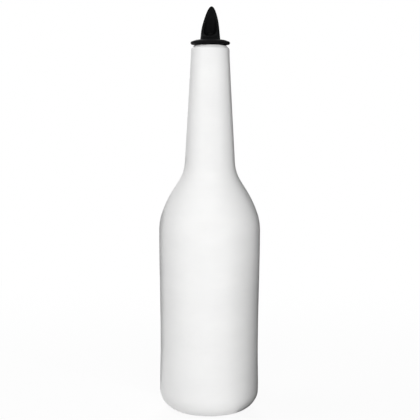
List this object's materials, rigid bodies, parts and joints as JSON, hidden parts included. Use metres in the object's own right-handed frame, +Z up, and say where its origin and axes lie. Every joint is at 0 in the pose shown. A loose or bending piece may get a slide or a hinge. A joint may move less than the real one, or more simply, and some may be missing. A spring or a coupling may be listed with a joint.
{
  "type": "flair bottle",
  "caption": "Unbreakable practice bottle for bartending tricks, with a long neck, a round shoulder and a free-flow pourer that turns and pulls out.",
  "frame": {"origin": "middle of the base, on the surface that the bottle stands on", "axes": "+Z up the bottle's axis to the pourer, -Y towards the viewer, who the open side of the beak faces"},
  "size_m": [0.075, 0.075, 0.2985],
  "materials": {
    "white_plastic": "semi-gloss blow-moulded",
    "black_plastic": "satin injection-moulded",
    "soft_black_plastic": "matt soft moulding",
    "tube_plastic": "extruded, milky"
  },
  "bodies": {
    "bottle": {"bottle": "white_plastic"},
    "cork": {"pourer_cork": "soft_black_plastic"},
    "spout": {"pour_spout": "black_plastic", "air_tube": "tube_plastic"}
  },
  "joints": [
    {"name": "cork_pull", "type": "slide", "parent": "bottle", "child": "cork", "axis": [0, 0, 1], "range_m": [0, 0.075]},
    {"name": "spout_turn", "type": "hinge", "parent": "cork", "child": "spout", "pos_m": [0, 0, 0.2696], "axis": [0, 0, 1], "continuous": true}
  ]
}
